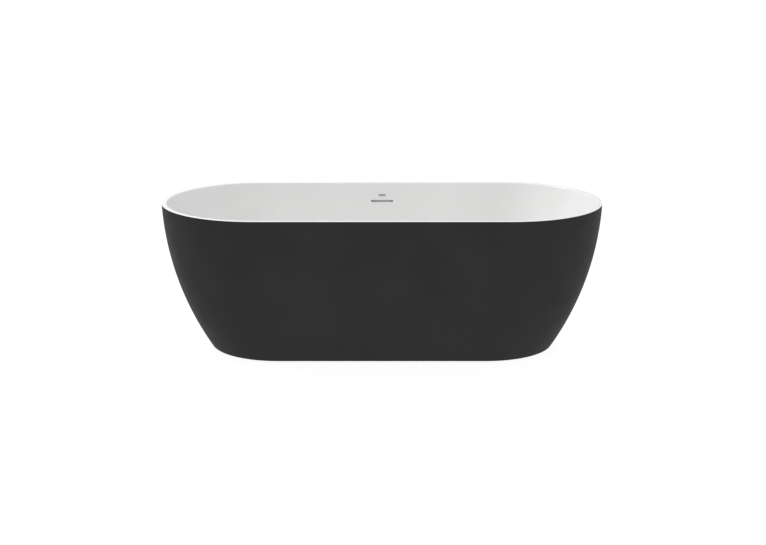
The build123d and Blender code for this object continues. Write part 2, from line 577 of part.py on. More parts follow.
# ---------------------------------------------------------------- overflow
TRIM_LIP, TRIM_LAP = 0.6, 1.3  # thickness of the trim's lip, and how far it laps over the wall
GASKET, GASKET_EASE = 2.0, 0.5
GASKET_LENGTH, GASKET_HEIGHT = 104.0, 20.0
BOX_LENGTH, BOX_HEIGHT, BOX_DEPTH, BOX_WALL = 108.0, 26.0, 11.0, 1.5
BOX_FRONT = -SHEET - GASKET  # front face of the box, behind the wall's inner face
TRIM_END = BOX_FRONT - BOX_WALL - 2.0
FUNNEL_END, SPIGOT_END = -110.0, -150.0  # down the wall from the middle of the slot
SPIGOT_DEPTH = -19.5
FUNNEL_RADIUS = 12.0
HOSE_RADIUS, HOSE_BORE = 12.0, 10.0
HOSE_START, HOSE_END_Y = -118.0, 36.0
HOSE_BEND = 105.0
CLAMP_WIDTH, CLAMP_BAND = 9.0, 0.9


def overflow_trim():
    lip_length, lip_height = HOLE_LENGTH + 2 * TRIM_LAP, HOLE_HEIGHT + 2 * TRIM_LAP
    lip = wall_plate(SLOT_PLANE, lip_length, lip_height, HOLE_CORNER + TRIM_LAP, GLUE, GLUE + TRIM_LIP)
    tube_length, tube_height = SLOT_LENGTH + 2 * TRIM_WALL, SLOT_HEIGHT + 2 * TRIM_WALL
    tube = wall_plate(SLOT_PLANE, tube_length, tube_height, SLOT_CORNER + TRIM_WALL, TRIM_END, GLUE)
    low, high = TRIM_END - PAST, GLUE + TRIM_LIP + PAST
    return lip + tube - wall_plate(SLOT_PLANE, SLOT_LENGTH, SLOT_HEIGHT, SLOT_CORNER, low, high)


def overflow_gasket():
    outside = wall_plate(SLOT_PLANE, GASKET_LENGTH, GASKET_HEIGHT, HOLE_CORNER, BOX_FRONT, -SHEET)
    length, height = HOLE_LENGTH + 2 * GASKET_EASE, HOLE_HEIGHT + 2 * GASKET_EASE
    return outside - wall_plate(SLOT_PLANE, length, height, HOLE_CORNER, BOX_FRONT - PAST, 0)


def funnel(inset, end_radius):
    """Solid from the box down to a round end, its top drawn in by inset all round."""
    depth = BOX_FRONT - BOX_DEPTH / 2
    top = Plane.XZ.offset(BOX_HEIGHT / 2 - BOX_WALL) * Pos(0, depth) * RectangleRounded(
        BOX_LENGTH - 2 * inset, BOX_DEPTH - 2 * inset, 1.2
    )
    end = Plane.XZ.offset(-FUNNEL_END) * Pos(0, SPIGOT_DEPTH) * Circle(end_radius)
    return SLOT_PLANE * loft([top, end])


def spigot(radius, low, high):
    """Round bar along the overflow's outlet, between two distances up the wall from the slot."""
    return SLOT_PLANE * Pos(0, low, SPIGOT_DEPTH) * Rot(-90, 0, 0) * cylinder(radius, 0, high - low)


def overflow_box():
    back = BOX_FRONT - BOX_DEPTH
    box = wall_plate(SLOT_PLANE, BOX_LENGTH, BOX_HEIGHT, 3, back, BOX_FRONT)
    box += funnel(0, FUNNEL_RADIUS) + spigot(SPIGOT_RADIUS, SPIGOT_END, FUNNEL_END + PAST)
    inner_length, inner_height = BOX_LENGTH - 2 * BOX_WALL, BOX_HEIGHT - 2 * BOX_WALL
    box -= wall_plate(SLOT_PLANE, inner_length, inner_height, 2, back + BOX_WALL, BOX_FRONT - BOX_WALL)
    low, high = BOX_FRONT - BOX_WALL - PAST, BOX_FRONT + PAST
    box -= wall_plate(SLOT_PLANE, HOLE_LENGTH, HOLE_HEIGHT, HOLE_CORNER, low, high)
    return box - funnel(BOX_WALL, SPIGOT_BORE) - spigot(SPIGOT_BORE, SPIGOT_END - PAST, FUNNEL_END + PAST)


def hose_path():
    """From the overflow's spigot down between the shells, then under the rear rail to the waste."""
    start = SLOT_PLANE * Pos(0, HOSE_START, SPIGOT_DEPTH)
    top = start.position
    down = SLOT_PLANE.y_dir
    corner_y = top.Y - down.Y * (top.Z - PORT_Z) / down.Z
    return FilletPolyline(
        (0, top.Y, top.Z), (0, corner_y, PORT_Z), (0, HOSE_END_Y, PORT_Z), radius=HOSE_BEND
    )


def overflow_hose():
    path = hose_path()
    end = Plane(origin=path @ 0, z_dir=path % 0)
    return sweep(end * Circle(HOSE_RADIUS), path) - sweep(end * Circle(HOSE_BORE), path)


def hose_clamp():
    """Band round the z axis with its screw housing on the +X side."""
    band = ring(HOSE_RADIUS + FIT, HOSE_RADIUS + FIT + CLAMP_BAND, 0, CLAMP_WIDTH)
    outer = HOSE_RADIUS + FIT + CLAMP_BAND
    return band + block(outer - 0.4, outer + 6, -5, 5, 0.5, CLAMP_WIDTH - 0.5)


def hose_clamps():
    upper = SLOT_PLANE * Pos(0, HOSE_START - 6, SPIGOT_DEPTH) * Rot(90, 0, 0) * hose_clamp()
    lower = Pos(0, HOSE_END_Y + 5, PORT_Z) * Rot(-90, 0, 0) * hose_clamp()
    return [upper, lower]


def badge_plate():
    return wall_plate(BADGE_PLANE, BADGE_LENGTH, BADGE_HEIGHT, 2, GLUE, GLUE + BADGE_THICKNESS)


# ---------------------------------------------------------------- build
def save_shells_and_frame():
    save("inner_basin", inner_basin())
    save("outer_skirt", outer_skirt())
    save("rim_bond_bead", rim_bond_bead())
    save("badge_plate", badge_plate())
    save("floor_board", floor_board())
    save("board_tabs", *board_tabs())
    save("board_screws", *board_screws())
    save("rail_front", rail(-RAIL_Y))
    save("rail_rear", rail(RAIL_Y))
    for name, x in CROSSBAR_X.items():
        save(f"crossbar_{name}", crossbar(x))
    save("tube_end_plugs", *at_tube_ends(tube_end_plug()))
    save("skirt_brackets", *at_tube_ends(skirt_bracket()))
    save("bracket_bolts", *at_tube_ends(bracket_bolt()))
    save("bracket_nuts", *at_tube_ends(bracket_nut()))
    save("skirt_blocks", *skirt_blocks())
    screws = [at_tube_ends(block_screw(y)) for y in (-BRACKET_SCREW_Y, BRACKET_SCREW_Y)]
    save("block_screws", *screws[0], *screws[1])


def save_feet():
    save("foot_nuts", *foot_nuts())
    save("foot_lock_nuts", *foot_lock_nuts())
    for name, (x, y) in FEET.items():
        save(f"foot_pad_{name}", foot_pad(x, y))
        save(f"foot_spindle_{name}", foot_spindle(x, y))


def save_plumbing():
    makers = (
        waste_flange, waste_upper_seal, waste_lower_seal, waste_body, click_cartridge, cartridge_cap,
        cartridge_spring, plug_cap, plug_seal, plug_stem, trap_inlet_nut, trap_inlet_seal, trap_body,
        trap_baffle, trap_cleanout_seal, trap_cleanout_cap, outlet_nut, outlet_seal, outlet_pipe,
        overflow_trim, overflow_gasket, overflow_box, overflow_hose,
    )
    for maker in makers:
        save(maker.__name__, maker())
    save("hose_clamps", *hose_clamps())


def main():
    os.makedirs("parts", exist_ok=True)
    save_shells_and_frame()
    save_feet()
    save_plumbing()


main()
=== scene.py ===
import json
import math

import bmesh
import bpy
from mathutils import Matrix, Vector


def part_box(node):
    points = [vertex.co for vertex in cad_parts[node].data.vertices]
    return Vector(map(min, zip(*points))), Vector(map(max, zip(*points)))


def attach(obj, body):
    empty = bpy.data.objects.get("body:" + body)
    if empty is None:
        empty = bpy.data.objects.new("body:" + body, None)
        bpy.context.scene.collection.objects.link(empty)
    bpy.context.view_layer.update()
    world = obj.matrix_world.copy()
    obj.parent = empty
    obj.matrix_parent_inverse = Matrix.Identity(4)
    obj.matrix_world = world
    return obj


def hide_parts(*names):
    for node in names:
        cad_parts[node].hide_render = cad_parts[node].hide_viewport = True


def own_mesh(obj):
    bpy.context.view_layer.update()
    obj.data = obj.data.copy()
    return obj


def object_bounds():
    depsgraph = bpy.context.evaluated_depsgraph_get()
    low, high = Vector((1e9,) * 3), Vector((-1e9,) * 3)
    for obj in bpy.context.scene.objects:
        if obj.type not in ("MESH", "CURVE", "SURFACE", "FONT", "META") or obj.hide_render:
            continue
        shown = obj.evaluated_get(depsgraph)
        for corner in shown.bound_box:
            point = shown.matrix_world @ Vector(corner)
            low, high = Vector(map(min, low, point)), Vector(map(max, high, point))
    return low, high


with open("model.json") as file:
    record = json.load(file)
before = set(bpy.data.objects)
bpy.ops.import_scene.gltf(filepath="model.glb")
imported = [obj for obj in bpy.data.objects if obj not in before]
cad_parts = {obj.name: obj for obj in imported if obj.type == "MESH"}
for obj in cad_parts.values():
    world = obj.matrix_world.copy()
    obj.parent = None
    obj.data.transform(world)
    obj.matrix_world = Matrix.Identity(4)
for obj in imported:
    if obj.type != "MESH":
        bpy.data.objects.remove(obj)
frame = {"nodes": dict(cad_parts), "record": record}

# Looks of the freestanding bathtub, in metres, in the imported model's frame: +X along the tub, +Y towards the
# overflow, +Z up, floor at 0. Shapes are made from formulas and rows of rings. Places and outer sizes come
# from the frame. The finer sizes below repeat the CAD model's or add to it.

cad_low, cad_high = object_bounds()

MM = 0.001
SHARP, SHARP_SHELL, SHARP_PLUG = 35, 40, 50  # degrees between two faces, above which their edge stays crisp


# ================================================================ small helpers for shapes
def node_size(node):
    low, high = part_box(node)
    return high - low


def make_piece(name, points, faces, body, slot, replaced):
    """Smooth mesh object that rides on a body, takes a slot's material and stands for CAD nodes."""
    mesh = bpy.data.meshes.new(name)
    mesh.from_pydata([tuple(p) for p in points], [], faces)
    mesh.validate()
    shape = bmesh.new()
    shape.from_mesh(mesh)
    bmesh.ops.recalc_face_normals(shape, faces=shape.faces)
    shape.to_mesh(mesh)
    shape.free()
    mesh.polygons.foreach_set("use_smooth", [True] * len(mesh.polygons))
    piece = bpy.data.objects.new(name, mesh)
    bpy.context.scene.collection.objects.link(piece)
    piece.data.materials.append(MATERIALS[slot])
    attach(piece, body)
    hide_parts(*replaced)
    return piece


def keep_sharp(piece, degrees=SHARP):
    """Edges sharper than this stay crisp while the rest shades smoothly."""
    piece.data.set_sharp_from_angle(angle=math.radians(degrees))


def skin(rings, closed_along=False):
    """Points and quads through rings of equal length; each ring is a closed loop."""
    count = len(rings[0])
    points = [p for ring in rings for p in ring]
    faces = []
    last = len(rings) if closed_along else len(rings) - 1
    for i in range(last):
        here, there = i * count, (i + 1) % len(rings) * count
        for j in range(count):
            k = (j + 1) % count
            faces.append((here + j, here + k, there + k, there + j))
    return points, faces


def capped(rings):
    """Like skin, with the first and last ring closed by a fan round their middles."""
    points, faces = skin(rings)
    count = len(rings[0])
    for start, ring, flip in ((0, rings[0], True), ((len(rings) - 1) * count, rings[-1], False)):
        middle = len(points)
        points.append(sum((Vector(p) for p in ring), Vector()) / count)
        for j in range(count):
            a, b = start + j, start + (j + 1) % count
            faces.append((b, a, middle) if flip else (a, b, middle))
    return points, faces


def moved(part, matrix):
    points, faces = part
    return [matrix @ Vector(p) for p in points], faces


def lathe(outline, steps, squeeze=None, closed=True):
    """(r, z) outline turned about the z axis. squeeze(angle, r, z) may change the radius.

    A closed outline gives a ring. An open one starts and ends near the axis and is closed over there.
    """
    rings = []
    for r, z in outline:
        ring = []
        for k in range(steps):
            angle = 2 * math.pi * k / steps
            radius = squeeze(angle, r, z) if squeeze else r
            ring.append(Vector((radius * math.cos(angle), radius * math.sin(angle), z)))
        rings.append(ring)
    return skin(rings, closed_along=True) if closed else capped(rings)


# ================================================================ outline of the tub: a stadium
ARC_STEPS, FLAT_STEPS = 96, 56  # columns round each end and along each side
SLOT_SHARE = 0.25  # share of the side's columns that run at fixed places, across the overflow slot
SLOT_HALF_LENGTH = 45.7 * MM  # of the hole in the wall, which the trim lines


def tub_columns():
    """Columns round the tub as (end, normal x, normal y, share).

    end is -1 or 1 on an end and 0 on a side, and share runs from -1 to 1 along a side.
    """
    columns = []
    for end, start in ((1, -90), (-1, 90)):
        for k in range(ARC_STEPS):
            angle = math.radians(start + 180 * k / ARC_STEPS)
            columns.append((end, math.cos(angle), math.sin(angle), 0.0))
        for k in range(FLAT_STEPS):
            columns.append((0, 0.0, end, end * (1 - 2 * k / FLAT_STEPS)))
    return columns


COLUMNS = tub_columns()


def outline_point(column, half_length, half_width, z):
    end, nx, ny, share = column
    middle = half_length - half_width
    if end:
        return Vector((end * middle + half_width * nx, half_width * ny, z))
    if abs(share) <= SLOT_SHARE:
        x = share / SLOT_SHARE * SLOT_HALF_LENGTH
    else:
        along = (abs(share) - SLOT_SHARE) / (1 - SLOT_SHARE)
        x = math.copysign(SLOT_HALF_LENGTH + along * (middle - SLOT_HALF_LENGTH), share)
    return Vector((x, half_width * ny, z))


def support(half_sizes, column):
    half_length, half_width = half_sizes
    return (half_length - half_width) * abs(column[1]) + half_width


def wall_slope(profile, column, z, step=0.5 * MM):
    """How far the wall runs outwards for each metre it rises."""
    return (support(profile(z + step), column) - support(profile(z - step), column)) / (2 * step)


SEARCH_ROUNDS = 12  # enough to find the height at which a round meets the sloping wall


def foot_arc(profile, column, floor, radius, steps):
    """Points of the round from a flat floor up to the wall, and the height it ends at."""
    z = floor + radius
    for _ in range(SEARCH_ROUNDS):
        slope = wall_slope(profile, column, z)
        z = floor + radius - radius * slope / math.hypot(1, slope)
    slope = wall_slope(profile, column, z)
    normal = Vector((column[1], column[2], 0))
    touch = outline_point(column, *profile(z), z)
    centre = touch + radius * (Vector((0, 0, slope)) - normal) / math.hypot(1, slope)
    lowest, highest = -math.pi / 2, -math.atan(slope)
    arc = []
    for k in range(steps + 1):
        angle = lowest + (highest - lowest) * k / steps
        arc.append(centre + radius * (math.cos(angle) * normal + Vector((0, 0, math.sin(angle)))))
    return arc, z


def rim_arc(profile, column, top, radius, steps):
    """Points of the round from the wall over to the flat rim, and the height it starts at."""
    z = top - radius
    for _ in range(SEARCH_ROUNDS):
        slope = wall_slope(profile, column, z)
        z = top - radius + radius * slope / math.hypot(1, slope)
    slope = wall_slope(profile, column, z)
    normal = Vector((column[1], column[2], 0))
    touch = outline_point(column, *profile(z), z)
    centre = touch + radius * (normal - Vector((0, 0, slope))) / math.hypot(1, slope)
    first, last = math.atan(slope), math.pi / 2
    arc = []
    for k in range(steps + 1):
        angle = first + (last - first) * k / steps
        arc.append(centre + radius * (-math.cos(angle) * normal + Vector((0, 0, math.sin(angle)))))
    return arc, z


def arc_wall(z, top_half, base_half, low, high, lean):
    """Half-length of a wall at height z: one arc from its foot to its top, leaning by lean at the top."""
    run, rise, tilt = top_half - base_half, high - low, math.radians(lean)
    radius = (run**2 + rise**2) / (2 * run * math.cos(tilt) - 2 * rise * math.sin(tilt))
    centre_x = top_half - radius * math.cos(tilt)
    centre_z = high + radius * math.sin(tilt)
    return centre_x + math.sqrt(radius**2 - (z - centre_z) ** 2)


# ================================================================ sizes of the two shells
HALF_LENGTH = (cad_high.x - cad_low.x) / 2
HALF_WIDTH = (cad_high.y - cad_low.y) / 2
RIM_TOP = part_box("inner_basin")[1].z
SKIRT_LOW, SKIRT_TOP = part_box("outer_skirt")[0].z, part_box("outer_skirt")[1].z
BATHING_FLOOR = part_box("waste_flange")[1].z
BASE_HALF_LENGTH, BASE_HALF_WIDTH = 664.0 * MM, 271.0 * MM
FLOOR_HALF_LENGTH, FLOOR_HALF_WIDTH = 580.0 * MM, 220.0 * MM
RIM_WIDTH = 19.0 * MM
SKIRT_LEAN, BASIN_LEAN = 2.6, 16.0
BASIN_SHEET, SKIRT_SHEET = 5.0 * MM, 4.0 * MM
FLOOR_RADIUS, FOOT_RADIUS = 95.0 * MM, 12.0 * MM
SKIRT_RETURN = 30.0 * MM
SKIRT_FOOT_STEPS = 8


def skirt_sizes(z, grow=0.0):
    half = arc_wall(z, HALF_LENGTH, BASE_HALF_LENGTH, SKIRT_LOW, RIM_TOP, SKIRT_LEAN)
    share = (half - BASE_HALF_LENGTH) / (HALF_LENGTH - BASE_HALF_LENGTH)
    width = BASE_HALF_WIDTH + share * (HALF_WIDTH - BASE_HALF_WIDTH)
    return half + grow, width + grow


def basin_sizes(z, grow=0.0):
    top_length, top_width = HALF_LENGTH - RIM_WIDTH, HALF_WIDTH - RIM_WIDTH
    half = arc_wall(z, top_length, FLOOR_HALF_LENGTH, BATHING_FLOOR, RIM_TOP, BASIN_LEAN)
    share = (half - FLOOR_HALF_LENGTH) / (top_length - FLOOR_HALF_LENGTH)
    width = FLOOR_HALF_WIDTH + share * (top_width - FLOOR_HALF_WIDTH)
    return half + grow, width + grow


def grown(profile, grow):
    return lambda z: profile(z, grow)


# ================================================================ materials
def new_material(name):
    material = bpy.data.materials.new(name)
    material.use_nodes = True
    nodes, links = material.node_tree.nodes, material.node_tree.links
    return material, nodes, links, nodes["Principled BSDF"]


def noise(nodes, links, scale, detail=3.0, stretch=None):
    """Noise in the object's own metres, stretched along an axis where asked."""
    place = nodes.new("ShaderNodeTexCoord")
    texture = nodes.new("ShaderNodeTexNoise")
    texture.inputs["Scale"].default_value = scale
    texture.inputs["Detail"].default_value = detail
    source = place.outputs["Object"]
    if stretch:
        mapping = nodes.new("ShaderNodeMapping")
        mapping.inputs["Scale"].default_value = stretch
        links.new(source, mapping.inputs["Vector"])
        source = mapping.outputs["Vector"]
    links.new(source, texture.inputs["Vector"])
    return texture.outputs["Fac"]


def mapped(nodes, links, source, low, high, from_low=0.3, from_high=0.7):
    spread = nodes.new("ShaderNodeMapRange")
    spread.inputs["From Min"].default_value = from_low
    spread.inputs["From Max"].default_value = from_high
    spread.inputs["To Min"].default_value = low
    spread.inputs["To Max"].default_value = high
    links.new(source, spread.inputs["Value"])
    return spread.outputs["Result"]


def two_colours(nodes, links, source, first, second, low=0.35, high=0.65):
    ramp = nodes.new("ShaderNodeValToRGB")
    ramp.color_ramp.elements[0].position = low
    ramp.color_ramp.elements[1].position = high
    ramp.color_ramp.elements[0].color = (*first, 1)
    ramp.color_ramp.elements[1].color = (*second, 1)
    links.new(source, ramp.inputs["Fac"])
    return ramp.outputs["Color"]


def bumped(nodes, links, shader, source, depth):
    bump = nodes.new("ShaderNodeBump")
    bump.inputs["Distance"].default_value = depth
    links.new(source, bump.inputs["Height"])
    links.new(bump.outputs["Normal"], shader.inputs["Normal"])


WEAR_SCALE = 2.3  # how much finer the drift in roughness is than the clouds of colour


def mottled(
    name, first, second, scale, rough, grain, depth, metallic=0.0, coat=0.0, specular=0.5, stretch=None
):
    """Two close colours in soft clouds, roughness that drifts between two values, and a fine grain.

    scale and grain are noise scales, and depth is the grain's height in metres.
    """
    material, nodes, links, shader = new_material(name)
    clouds = noise(nodes, links, scale, stretch=stretch)
    links.new(two_colours(nodes, links, clouds, first, second), shader.inputs["Base Color"])
    wear = noise(nodes, links, scale * WEAR_SCALE, detail=5.0, stretch=stretch)
    links.new(mapped(nodes, links, wear, *rough), shader.inputs["Roughness"])
    bumped(nodes, links, shader, noise(nodes, links, grain, detail=4.0, stretch=stretch), depth)
    shader.inputs["Metallic"].default_value = metallic
    shader.inputs["Coat Weight"].default_value = coat
    shader.inputs["Specular IOR Level"].default_value = specular
    return material


def white_acrylic():
    """Glossy cast acrylic: nearly even white, with the faint waviness of a drawn sheet under its shine."""
    material = mottled(
        "white_acrylic", (0.80, 0.80, 0.795), (0.83, 0.83, 0.825), 3.0, (0.10, 0.17), 14.0, 0.05 * MM,
        coat=0.3,
    )
    material.node_tree.nodes["Principled BSDF"].inputs["Coat Roughness"].default_value = 0.05
    return material


def charcoal_acrylic():
    """Satin dark grey skirt with a very fine even grain."""
    return mottled(
        "charcoal_acrylic", (0.0260, 0.0260, 0.0265), (0.0292, 0.0292, 0.0297), 5.0, (0.56, 0.66), 900.0,
        0.02 * MM, specular=0.05,
    )


def plywood():
    """Birch board: long grain on its faces and dark glue lines between the plies on its edge."""
    material, nodes, links, shader = new_material("plywood")
    grain = noise(nodes, links, 22.0, detail=6.0, stretch=(1.2, 14.0, 14.0))
    grain_colour = two_colours(nodes, links, grain, (0.42, 0.27, 0.13), (0.68, 0.50, 0.30), 0.3, 0.7)
    place = nodes.new("ShaderNodeTexCoord")
    bands = nodes.new("ShaderNodeTexWave")
    bands.bands_direction = "Z"
    bands.inputs["Scale"].default_value = 110.0
    bands.inputs["Distortion"].default_value = 0.25
    links.new(place.outputs["Object"], bands.inputs["Vector"])
    edge = two_colours(nodes, links, bands.outputs["Fac"], (0.55, 0.50, 0.45), (1.0, 1.0, 1.0), 0.15, 0.4)
    mix = nodes.new("ShaderNodeMix")
    mix.data_type = "RGBA"
    mix.blend_type = "MULTIPLY"
    mix.inputs["Factor"].default_value = 0.8
    links.new(grain_colour, mix.inputs["A"])
    links.new(edge, mix.inputs["B"])
    links.new(mix.outputs["Result"], shader.inputs["Base Color"])
    links.new(mapped(nodes, links, grain, 0.55, 0.8), shader.inputs["Roughness"])
    bumped(nodes, links, shader, grain, 0.3 * MM)
    return material


def galvanised_steel():
    """Hot-dipped zinc: crystal spangle in slightly different greys."""
    material, nodes, links, shader = new_material("galvanised_steel")
    place = nodes.new("ShaderNodeTexCoord")
    spangle = nodes.new("ShaderNodeTexVoronoi")
    spangle.inputs["Scale"].default_value = 130.0
    links.new(place.outputs["Object"], spangle.inputs["Vector"])
    grey = nodes.new("ShaderNodeRGBToBW")
    links.new(spangle.outputs["Color"], grey.inputs["Color"])
    colour = two_colours(nodes, links, grey.outputs["Val"], (0.34, 0.36, 0.38), (0.52, 0.54, 0.56), 0.2, 0.8)
    links.new(colour, shader.inputs["Base Color"])
    links.new(mapped(nodes, links, grey.outputs["Val"], 0.32, 0.55, 0.2, 0.8), shader.inputs["Roughness"])
    bumped(nodes, links, shader, noise(nodes, links, 260.0), 0.05 * MM)
    shader.inputs["Metallic"].default_value = 0.85
    return material


MOTTLED = {  # two colours, cloud scale, roughness from and to, grain scale, grain depth, the rest by name
    "adhesive": ((0.60, 0.60, 0.57), (0.72, 0.72, 0.69), 60.0, (0.45, 0.7), 300.0, 0.4 * MM, {}),
    "satin_metal": (
        (0.36, 0.36, 0.36), (0.44, 0.44, 0.44), 90.0, (0.26, 0.38), 700.0, 0.02 * MM,
        {"metallic": 0.9, "stretch": (1.0, 8.0, 8.0)},
    ),
    "zinc_fastener": (
        (0.42, 0.43, 0.45), (0.60, 0.60, 0.58), 160.0, (0.25, 0.42), 1200.0, 0.03 * MM, {"metallic": 0.95}
    ),
    "black_plastic": (
        (0.014, 0.014, 0.015), (0.026, 0.026, 0.027), 80.0, (0.45, 0.62), 1500.0, 0.05 * MM, {}
    ),
    "foot_plastic": ((0.018, 0.018, 0.019), (0.034, 0.034, 0.035), 70.0, (0.5, 0.7), 1300.0, 0.06 * MM, {}),
    "chrome": (
        (0.74, 0.745, 0.75), (0.80, 0.80, 0.80), 40.0, (0.04, 0.11), 500.0, 0.003 * MM, {"metallic": 1.0}
    ),
    "seal_rubber": ((0.018, 0.018, 0.018), (0.036, 0.036, 0.035), 140.0, (0.6, 0.85), 1600.0, 0.05 * MM, {}),
    "white_plastic": ((0.85, 0.85, 0.84), (0.89, 0.89, 0.88), 35.0, (0.28, 0.42), 900.0, 0.04 * MM, {}),
    "hose_plastic": ((0.47, 0.48, 0.49), (0.58, 0.59, 0.59), 50.0, (0.35, 0.55), 700.0, 0.05 * MM, {}),
    "brass": (
        (0.58, 0.40, 0.17), (0.72, 0.53, 0.26), 120.0, (0.2, 0.36), 900.0, 0.02 * MM, {"metallic": 1.0}
    ),
    "spring_steel": (
        (0.40, 0.40, 0.41), (0.56, 0.56, 0.56), 200.0, (0.18, 0.34), 1100.0, 0.01 * MM, {"metallic": 1.0}
    ),
}
MATERIALS = {
    "white_acrylic": white_acrylic(),
    "charcoal_acrylic": charcoal_acrylic(),
    "plywood": plywood(),
    "galvanised_steel": galvanised_steel(),
}
for slot_name, (*looks, named_looks) in MOTTLED.items():
    MATERIALS[slot_name] = mottled(slot_name, *looks, **named_looks)

# ================================================================ inner basin
WALL_ROWS = 56
WASTE_RECESS_RADIUS, WASTE_RECESS_DEPTH, WASTE_HOLE_RADIUS = 38.0 * MM, 4.0 * MM, 25.0 * MM
RIM_INNER_RADIUS, RIM_OUTER_RADIUS = 5.0 * MM, 1.0 * MM
RIM_OUTER_STEPS = 4
FLANGE_STEP = 5.0 * MM
FLOOR_SHARES = (0.02, 0.3, 0.6, 0.85, 0.97)  # rings between the floor's edge and the recess
RECESS_SIDE = 0.97  # share of the recess's depth at its outer side, from where it falls towards the hole
HOLE_LAND = 1 * MM  # flat round the waste's hole
SHARE_SLACK = 1e-6  # for comparing shares
OVERFLOW_DROP, BADGE_DROP = 74.0 * MM, 50.5 * MM
SLOT_HALF_HEIGHT = 5.45 * MM
REAR_MIDDLE = (0, 0.0, 1.0, 0.0)  # the column in the middle of the rear side


def wall_frame(drop):
    """Rear wall's inner face at drop below the rim: a point on it, and its up and inward directions."""
    z = RIM_TOP - drop
    lean = math.atan(wall_slope(basin_sizes, REAR_MIDDLE, z))
    point = outline_point(REAR_MIDDLE, *basin_sizes(z), z)
    up = Vector((0, math.sin(lean), math.cos(lean)))
    inward = Vector((0, -math.cos(lean), math.sin(lean)))
    return point, up, inward


def wall_matrix(drop):
    """Places a shape drawn with x along the tub, y up the wall and z into the tub."""
    point, up, inward = wall_frame(drop)
    matrix = Matrix((Vector((1, 0, 0)), up, inward)).transposed().to_4x4()
    matrix.translation = point
    return matrix


def wall_heights(first, last, cuts):
    """Even heights from first to last as shares, the nearest moved onto each cut, and the cuts' rows."""
    heights = [first + (last - first) * k / WALL_ROWS for k in range(WALL_ROWS + 1)]
    rows = []
    for cut in cuts:
        nearest = min(range(1, WALL_ROWS), key=lambda k: abs(heights[k] - cut) + (k in rows))
        heights[nearest] = cut
        rows.append(nearest)
    return [(z - first) / (last - first) for z in heights], rows


def circle_ring(radius, z, guide):
    """Circle whose points face the same way from the middle as those of a guide ring."""
    return [radius * Vector((p.x, p.y, 0)).normalized() + Vector((0, 0, z)) for p in guide]


def between(first, second, share):
    return [a.lerp(b, share) for a, b in zip(first, second)]


def rear_middle_index():
    """Which of the columns is the one in the middle of the rear side."""
    rear = [j for j, (end, _, ny, _) in enumerate(COLUMNS) if end == 0 and ny > 0]
    return min(rear, key=lambda j: abs(COLUMNS[j][3]))


def shell_rings(profile, floor, top, radius, cuts, foot_steps=14, rim_radius=None, rim_steps=5):
    """Rings of a shell's wall from its flat floor up to its top, and the rows on which the cuts fall."""
    feet = [foot_arc(profile, column, floor, radius, foot_steps) for column in COLUMNS]
    rims = None
    if rim_radius:
        rims = [rim_arc(profile, column, top, rim_radius, rim_steps) for column in COLUMNS]
    middle = rear_middle_index()
    last = rims[middle][1] if rims else top
    shares, rows = wall_heights(feet[middle][1], last, cuts)
    rings = [[feet[j][0][k] for j in range(len(COLUMNS))] for k in range(foot_steps)]
    first_wall = len(rings)
    for share in shares:
        ring = []
        for j, column in enumerate(COLUMNS):
            high = rims[j][1] if rims else top
            z = feet[j][1] + (high - feet[j][1]) * share
            ring.append(outline_point(column, *profile(z), z))
        rings.append(ring)
    if rims:
        rings += [[rims[j][0][k] for j in range(len(COLUMNS))] for k in range(1, rim_steps + 1)]
    return rings, [first_wall + row for row in rows]


def level_ring(half_length, half_width, z):
    return [outline_point(column, half_length, half_width, z) for column in COLUMNS]


def rim_outer_rings():
    """Rings over the rim's outer edge, under its lip and down its flange."""
    rings = []
    for k in range(RIM_OUTER_STEPS + 1):
        angle = math.pi / 2 * k / RIM_OUTER_STEPS
        out = RIM_OUTER_RADIUS * (1 - math.sin(angle))
        down = RIM_OUTER_RADIUS * (1 - math.cos(angle))
        rings.append(level_ring(HALF_LENGTH - out, HALF_WIDTH - out, RIM_TOP - down))
    rings.append(level_ring(HALF_LENGTH, HALF_WIDTH, SKIRT_TOP))
    length, width = HALF_LENGTH - FLANGE_STEP, HALF_WIDTH - FLANGE_STEP
    rings.append(level_ring(length, width, SKIRT_TOP))
    rings.append(level_ring(length, width, RIM_TOP - BASIN_SHEET))
    return rings


def waste_rings(guide, floor, recess, radius):
    """Rings from a floor's edge in to the waste's seat, then down to its hole."""
    edge = circle_ring(radius, floor, guide)
    rings = [between(guide, edge, share) for share in FLOOR_SHARES]
    rings += [edge, circle_ring(radius, floor - recess * RECESS_SIDE, guide)]
    rings.append(circle_ring(WASTE_HOLE_RADIUS + HOLE_LAND, floor - recess, guide))
    rings.append(circle_ring(WASTE_HOLE_RADIUS, floor - recess, guide))
    return rings


def slot_cuts(depth):
    """Heights of the slot's two edges on a face that lies depth behind the wall's inner face."""
    point, up, inward = wall_frame(OVERFLOW_DROP)
    middle = (point - depth * inward).z
    return [middle - SLOT_HALF_HEIGHT * up.z, middle + SLOT_HALF_HEIGHT * up.z]


